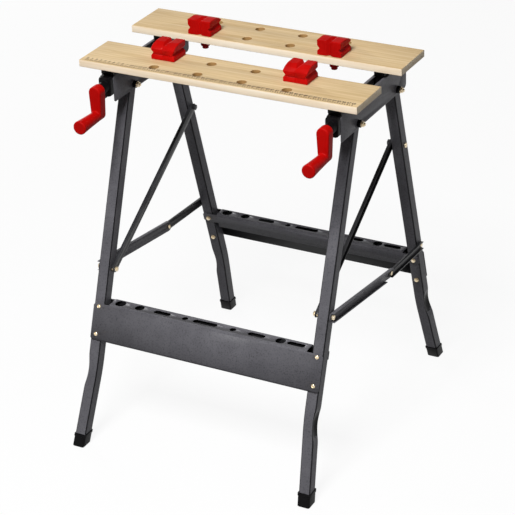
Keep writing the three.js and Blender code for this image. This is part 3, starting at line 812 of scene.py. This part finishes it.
def tray_section(end):
    """The corners of a tray's middle surface as (y, z): up the face, along the shelf, down the lip."""
    tilt = TILT[end]
    bottom = PIVOT_Z - (UPPER_BOLT_DROP[end] + TRAY_BOLT_SPACING + TRAY_BELOW_BOLT) * math.cos(tilt)
    middle = TRAY_SHEET / 2
    top = TRAY_TOP - middle
    offset = FACE_OFFSET + middle

    def on_line(shift, z):
        outwards = (PIVOT_Z - z) * SLOPE[end] + shift / math.cos(tilt)
        return Vector((PIVOT_Y[end] + OUT[end] * outwards, z))

    return [
        on_line(offset, bottom),
        on_line(offset, top),
        on_line(-offset, top),
        on_line(-offset, TRAY_TOP - TRAY_INNER_HEIGHT),
    ]


def bent(points, radius, steps):
    """A polyline with its corners turned into arcs, as (distance along, point) pairs."""
    path = [points[0]]
    for before, corner, after in zip(points, points[1:], points[2:]):
        back, on = (before - corner).normalized(), (after - corner).normalized()
        half = back.angle(on) / 2
        reach = radius / math.tan(half)
        centre = corner + (back + on).normalized() * radius / math.sin(half)
        start, stop = corner + back * reach - centre, corner + on * reach - centre
        sweep = start.angle_signed(stop)
        for i in range(steps + 1):
            path.append(centre + Matrix.Rotation(-sweep * i / steps, 2) @ start)
    path.append(points[-1])
    distance = 0.0
    table = [(0.0, path[0])]
    for a, b in zip(path, path[1:]):
        distance += (b - a).length
        table.append((distance, b))
    return table


def point_along(table, along):
    """The point at a distance along a bent polyline."""
    for (start, first), (stop, last) in zip(table, table[1:]):
        if along <= stop + NEAR:
            share = (along - start) / (stop - start)
            return first.lerp(last, max(0.0, min(1.0, share)))
    return table[-1][1]


def tray(end):
    """A bent sheet from its flat pattern: bolted face, level shelf with tool holes, lip and end tabs.

    Painted shade darkens the coat inside.
    """
    table = bent(tray_section(end), TRAY_BEND, TRAY_BEND_STEPS)
    distances = [distance for distance, _ in table]
    face_end, shelf_start = distances[1], distances[1 + TRAY_BEND_STEPS]
    shelf_end, lip_start = distances[2 + TRAY_BEND_STEPS], distances[2 + 2 * TRAY_BEND_STEPS]
    total = distances[-1]
    tab_end = total - (TRAY_INNER_HEIGHT - TRAY_TAB_HEIGHT) / math.cos(TILT[end])
    wide, narrow = LEG_OUTER, LEG_INNER - TRAY_END_GAP
    snipped = wide - TRAY_SNIP
    outline = [
        (snipped, 0.0), (wide, TRAY_SNIP), (wide, face_end - TRAY_SNIP), (snipped, face_end),
        (narrow, face_end), (narrow, lip_start), (snipped, lip_start), (wide, lip_start + TRAY_SNIP),
        (wide, tab_end - TRAY_SNIP), (snipped, tab_end), (narrow, tab_end), (narrow, total),
    ]
    loops = [outline + [(-x, s) for x, s in outline[::-1]]]
    middle = (shelf_start + shelf_end) / 2
    loops += [round_hole(x, middle, diameter, 28) for x, diameter in TRAY_ROUNDS]
    for x, length in TRAY_SLOTS:
        reach = (length - TRAY_SLOT_WIDTH) / 2
        radius = TRAY_SLOT_WIDTH / 2
        right_end = arc(x + reach, middle, radius, 90, -90, 12)
        left_end = arc(x - reach, middle, radius, 270, 90, 12)
        loops.append(right_end + left_end)
    bm = bmesh.new()
    add_mesh_from(bm, flat_curve(loops))
    for distance in distances[1:-1]:
        geometry = bm.verts[:] + bm.edges[:] + bm.faces[:]
        bmesh.ops.bisect_plane(
            bm, geom=geometry, plane_co=(0, distance * MM, 0), plane_no=(0, 1, 0), dist=NEAR * MM,
        )
    for vert in bm.verts:
        y, z = point_along(table, vert.co.y / MM)
        vert.co = Vector((vert.co.x, y * MM, z * MM))
    mesh = mesh_of(bm, f"{end}_tray")
    if sum(face.normal.z * face.area for face in mesh.polygons) < 0:
        mesh.flip_normals()
    obj = piece(f"{end}_tray_sheet", mesh, f"{end}_tray", STEEL, sharp=30)
    obj.data.materials.append(PAINTED_SHADE_COAT)
    thick = obj.modifiers.new("sheet", "SOLIDIFY")
    thick.thickness = TRAY_SHEET * MM
    thick.offset = 0.0
    thick.use_even_offset = True
    # The inner shell takes the darker coat as painted shade.
    thick.material_offset = 1
    return obj


def tray_bolt(side_name, end, level):
    """A round-headed bolt square to the leg, with a recess in its head and a washer under its nut."""
    drop = UPPER_BOLT_DROP[end] + (0.0 if level == "upper" else TRAY_BOLT_SPACING)
    seat = leg_frame(SIDES[side_name], end) @ Matrix.Translation((0, 0, -drop))
    outward = seat @ Matrix.Rotation(-OUT[end] * math.pi / 2, 4, "X")
    head = SKIN_OFFSET + FIT
    behind = SKIN_OFFSET if level == "upper" else TUBE / 2
    bm = bmesh.new()
    radius, thick = TRAY_HEAD / 2, TRAY_HEAD_THICK
    turned(bm, (
        (radius - 0.2, head - FIT), (radius, head + 0.3), (radius * 0.96, head + thick * 0.45),
        (radius * 0.8, head + thick * 0.78), (TRAY_RECESS / 2 + 0.3, head + thick),
        (TRAY_RECESS / 2, head + thick - 0.2), (TRAY_RECESS / 2 - 0.5, head + thick * 0.3),
    ), outward)
    reach = behind + FIT
    washer, nut = TRAY_WASHER / 2, -reach - TRAY_WASHER_THICK
    turned(bm, ((TRAY_BOLT / 2, head), (TRAY_BOLT / 2, -reach - HEX_THICK)), outward, 16)
    turned(bm, ((washer, nut), (washer, -reach + FIT)), outward)
    hexagon(bm, TRAY_NUT, nut - TRAY_NUT_THICK, nut, outward, 0.4)
    node = f"tray_bolt_{end}_{side_name}_{level}"
    return piece(f"{node}_fixing", mesh_of(bm, node), node, ZINC, sharp=35)


# Pivots and pins

def pivot_bolt(side_name, end):
    """A hexagon bolt through a rail and a leg, with a washer and a chamfered nut on the bush."""
    seat = facing((SIDES[side_name] * LEG_X, PIVOT_Y[end], PIVOT_Z), (1, 0, 0))
    wall = RAIL_WIDTH / 2
    head = -wall - FIT
    nut = wall + PIVOT_BUSH_THICK + 2 * FIT
    tip = nut + HEX_THICK + BOLT_TIP
    washer = PIVOT_WASHER / 2
    bm = bmesh.new()
    hexagon(bm, PIVOT_HEX, head - HEX_THICK, head - PIVOT_WASHER_THICK, seat)
    turned(bm, ((washer, head - PIVOT_WASHER_THICK), (washer, -wall)), seat)
    turned(bm, (
        (PIVOT_BOLT / 2, -wall), (PIVOT_BOLT / 2, tip - 0.8), (PIVOT_BOLT / 2 - 0.7, tip),
    ), seat, 20)
    turned(bm, ((washer, nut - FIT), (washer, nut + PIVOT_WASHER_THICK)), seat)
    hexagon(bm, PIVOT_HEX, nut + PIVOT_WASHER_THICK, nut + HEX_THICK, seat)
    node = f"pivot_bolt_{end}_{side_name}"
    return piece(f"{node}_fixing", mesh_of(bm, node), node, ZINC, sharp=35)


def pivot_bush(side_name, end):
    """A stepped black washer between the rail and the nut."""
    seat = facing((SIDES[side_name] * LEG_X, PIVOT_Y[end], PIVOT_Z), (1, 0, 0))
    wall = RAIL_WIDTH / 2
    end_face = wall + PIVOT_BUSH_THICK
    sleeve, radius = PIVOT_SLEEVE / 2, PIVOT_BUSH / 2
    bm = bmesh.new()
    turned(bm, (
        (sleeve, TUBE / 2 + FIT), (sleeve, wall), (radius, wall + 0.1), (radius, end_face - 1.2),
        (radius - 0.8, end_face - 0.4), (radius - 2.0, end_face + FIT),
        (PIVOT_BOLT / 2 + 0.2, end_face + FIT),
    ), seat)
    node = f"pivot_bush_{end}_{side_name}"
    return piece(f"{node}_washer", mesh_of(bm, node), node, BLACK, sharp=35)


def stay_nut(side_name):
    """A black nut on the inner side of a stay's upper end."""
    side = SIDES[side_name]
    seat = facing((0, *down_leg("rear", STAY_DROP)), (side, 0, 0))
    bm = bmesh.new()
    hexagon(bm, STAY_NUT, STAY_WEB - HEX_THICK - FIT, STAY_WEB, seat)
    node = f"stay_{side_name}"
    return piece(f"{node}_nut", mesh_of(bm, node), node, BLACK_COAT, sharp=35, slot=SLOT_OF[node])


def strut_end_rivet(side_name):
    """A plated domed head on the outer side of a strut's rear end."""
    side = SIDES[side_name]
    seat = facing((0, *down_leg("rear", UPPER_BOLT_DROP["rear"] - STRUT_ABOVE_BOLT)), (side, 0, 0))
    web = STRUT_REAR_WEB + BRACE_SHEET
    radius = RIVET_HEAD / 2 + FIT
    crown = web + RIVET_HEAD_THICK + FIT
    bm = bmesh.new()
    turned(bm, (
        (radius, web), (radius, crown - 0.8), (radius * 0.85, crown - 0.2), (radius * 0.4, crown),
    ), seat)
    node = f"strut_rear_{side_name}"
    return piece(f"{node}_rivet", mesh_of(bm, node), node, ZINC, sharp=35, slot="zinc_steel")


# Clamp

def spindle(side_name):
    """A bar with a collar and a screw thread along the stretch that the nut block travels."""
    x = SIDES[side_name] * LEG_X
    seat = facing((x, 0, SPINDLE_Z), (0, 1, 0))
    bm = bmesh.new()
    radius = SPINDLE / 2
    turned(bm, ((radius, SPINDLE_FRONT), (radius, THREAD_FRONT)), seat, 20)
    turned(bm, (
        (COLLAR / 2 - 0.6, COLLAR_SPAN[0]), (COLLAR / 2, COLLAR_SPAN[0] + 0.6),
        (COLLAR / 2, COLLAR_SPAN[1] - 0.6), (COLLAR / 2 - 0.6, COLLAR_SPAN[1]),
    ), seat)
    rings = []
    turns = (SPINDLE_REAR - THREAD_FRONT) / THREAD_PITCH
    for level in range(int(turns * THREAD_RINGS_A_TURN) + 1):
        along = THREAD_FRONT + level * THREAD_PITCH / THREAD_RINGS_A_TURN
        ring = []
        for i in range(THREAD_STEPS):
            phase = (along / THREAD_PITCH - i / THREAD_STEPS) % 1.0
            # 0 on the thread's crest, 1 in its root, and a straight flank between them.
            flank = min(1.0, max(0.0, abs(phase - 0.5) * 5.0 - 0.75))
            angle = 2 * math.pi * i / THREAD_STEPS
            r = radius - THREAD_DEPTH * flank
            ring.append((r * math.cos(angle), r * math.sin(angle), along))
        rings.append(ring)
    lofted(bm, rings, seat)
    node = f"spindle_{side_name}"
    return piece(f"{node}_screw", mesh_of(bm, node), node, SCREW, sharp=60)


def crank(side_name):
    """A moulded crank: a flat arm and a flared handle, melted into one body."""
    x = SIDES[side_name] * LEG_X
    arm_front = CRANK_ARM_REAR - CRANK_ARM_DEPTH
    outline = arc(0, 0, CRANK_HUB / 2, 0, 180, 20)
    outline += arc(0, -CRANK_RADIUS, CRANK_ARM_END / 2, 180, 360, 20)
    upright = Matrix.Translation((x, arm_front, SPINDLE_Z)) @ Matrix.Rotation(math.pi / 2, 4, "X")
    bm = bmesh.new()
    plate(bm, [outline], -CRANK_ARM_DEPTH, 0.0, CRANK_ROUND, upright)
    handle = facing((x, arm_front, SPINDLE_Z - CRANK_RADIUS), (0, -1, 0))
    reach, root, tip = HANDLE_REACH, HANDLE_ROOT / 2, HANDLE_END / 2
    turned(bm, (
        (root - 2.5, -CRANK_ARM_DEPTH * 0.8), (root - 1.0, -4.0), (root - 0.6, 2.0),
        (root - 0.3, 12.0), (root * 0.65 + tip * 0.35, reach * 0.6),
        (root * 0.15 + tip * 0.85, reach * 0.9), (tip, reach - 3.0),
        (tip - 0.3, reach - 1.2), (tip - 1.4, reach - 0.2), (tip - 3.0, reach),
    ), handle, 36)
    node = f"crank_{side_name}"
    obj = piece(f"{node}_handle", mesh_of(bm, node), node, RED, sharp=180)
    melt = obj.modifiers.new("melt", "REMESH")
    melt.mode = "VOXEL"
    melt.voxel_size = CRANK_GRAIN * MM
    melt.use_smooth_shade = True
    soft = obj.modifiers.new("soft", "SMOOTH")
    soft.factor = 0.5
    soft.iterations = 6
    return obj


# Assembly

jaw("front_jaw", -1)
jaw("rear_jaw", 1)
ruler()

for end_name in OUT:
    tray(end_name)
    for side_key in SIDES:
        leg(side_key, end_name)
        foot(side_key, end_name)
        pivot_bolt(side_key, end_name)
        pivot_bush(side_key, end_name)
        for bolt_level in ("upper", "lower"):
            tray_bolt(side_key, end_name, bolt_level)
        dog(side_key, end_name)

ROUNDED = (
    ("rail", 0.4, STEEL),
    ("spindle_bush", 1.0, BLACK),
    ("nut_block", 1.0, BLACK),
    ("jaw_spacer", 1.0, BLACK),
    ("stay", 0.35, BLACK_COAT),
    ("strut_front", 0.35, STEEL),
    ("strut_rear", 0.35, BLACK_COAT),
    ("strut_pin", 0.5, ZINC),
    ("stay_pin", 0.6, ZINC),
    ("strut_rivet", 0.5, ZINC),
    ("jaw_screw_front", 0.4, ZINC),
    ("jaw_screw_rear", 0.4, ZINC),
)
for side_key in SIDES:
    spindle(side_key)
    crank(side_key)
    stay_nut(side_key)
    strut_end_rivet(side_key)
    for kind, rounding, finish in ROUNDED:
        cad_node = f"{kind}_{side_key}"
        rounded = mesh_of(rounded_copy(cad_node, rounding), cad_node)
        piece(f"{cad_node}_piece", rounded, cad_node, finish)


# Studio

def area_light(name, at, target, size, power):
    """A square lamp that faces a target."""
    lamp = bpy.data.lights.new(name, "AREA")
    lamp.size = size
    lamp.energy = power
    obj = bpy.data.objects.new(name, lamp)
    bpy.context.scene.collection.objects.link(obj)
    obj.location = at
    obj.rotation_mode = "QUATERNION"
    obj.rotation_quaternion = (Vector(target) - Vector(at)).to_track_quat("-Z", "Y")


def seen_directly(tree):
    """1 for rays from the camera, reflections and transmission, and 0 for those that light things."""
    rays = tree.nodes.new("ShaderNodeLightPath")
    seen = rays.outputs["Is Camera Ray"]
    for kind in ("Is Glossy Ray", "Is Transmission Ray"):
        either = tree.nodes.new("ShaderNodeMath")
        either.operation = "MAXIMUM"
        tree.links.new(seen, either.inputs[0])
        tree.links.new(rays.outputs[kind], either.inputs[1])
        seen = either.outputs[0]
    return seen


def world_light():
    """A dim even world."""
    world = bpy.data.worlds.new("studio")
    bpy.context.scene.world = world
    world.use_nodes = True
    background = world.node_tree.nodes["Background"]
    background.inputs["Color"].default_value = (1.0, 1.0, 1.0, 1.0)
    background.inputs["Strength"].default_value = WORLD_LIGHT


def paper_floor():
    """A plain round floor that curves up into a backdrop, open above.

    It shows as white paper that keeps the bench's shadow, and bounces little light.
    """
    profile = arc(FLOOR_RADIUS, COVE_RADIUS, COVE_RADIUS, -90, 0, 16)
    profile.append((FLOOR_RADIUS + COVE_RADIUS, BACKDROP_TOP))
    bm = bmesh.new()
    lofted(bm, [circle(radius / MM, height / MM, 96) for radius, height in profile])
    bm.faces.ensure_lookup_table()
    bm.faces.remove(bm.faces[-1])
    mesh = mesh_of(bm, "floor")
    floor = bpy.data.objects.new("floor", mesh)
    bpy.context.scene.collection.objects.link(floor)
    n = Nodes("paper_floor")
    seen = seen_directly(n.tree)
    tone = n.noise(n.coords, 3.0, 2.0)
    shown = n.ramp(tone, ((0.3, (0.9, 0.9, 0.9)), (0.7, (0.93, 0.93, 0.93))))
    n.colour(n.mix(seen, (FLOOR_BOUNCE, FLOOR_BOUNCE, FLOOR_BOUNCE), shown))
    n.set("Roughness", 0.9)
    n.set("Specular IOR Level", 0.0)
    white = n.tree.nodes.new("ShaderNodeEmission")
    over = n.tree.nodes.new("ShaderNodeMixShader")
    n.tree.links.new(n.range(seen, 0.0, FLOOR_WHITE), over.inputs["Fac"])
    n.tree.links.new(n.shader.outputs["BSDF"], over.inputs[1])
    n.tree.links.new(white.outputs["Emission"], over.inputs[2])
    n.tree.links.new(over.outputs["Shader"], n.tree.nodes["Material Output"].inputs["Surface"])
    mesh.materials.append(n.material)


def camera():
    """The camera at the photograph's place and angle."""
    data = bpy.data.cameras.new("camera")
    data.lens = CAMERA_LENS
    data.sensor_width = CAMERA_SENSOR
    data.sensor_fit = "HORIZONTAL"
    data.clip_start, data.clip_end = 0.1, 60.0
    azimuth, elevation = math.radians(CAMERA_AZIMUTH), math.radians(CAMERA_ELEVATION)
    level_reach = math.cos(elevation)
    back = Vector((
        math.sin(azimuth) * level_reach, -math.cos(azimuth) * level_reach, math.sin(elevation),
    ))
    right = Vector((0, 0, 1)).cross(back).normalized()
    level = Matrix((right, back.cross(right), back)).transposed()
    rolled = level @ Matrix.Rotation(math.radians(CAMERA_ROLL), 3, "Z")
    obj = bpy.data.objects.new("camera", data)
    bpy.context.scene.collection.objects.link(obj)
    obj.matrix_world = Matrix.Translation(Vector(CAMERA_AT) * MM) @ rolled.to_4x4()
    bpy.context.scene.camera = obj


world_light()
paper_floor()
area_light("key", KEY_AT, LIGHTS_AIM, KEY_SIZE, KEY_POWER)
area_light("fill", FILL_AT, LIGHTS_AIM, FILL_SIZE, FILL_POWER)
area_light("back", BACK_AT, LIGHTS_AIM, BACK_SIZE, BACK_POWER)
camera()
bpy.context.scene.view_settings.view_transform = "Standard"
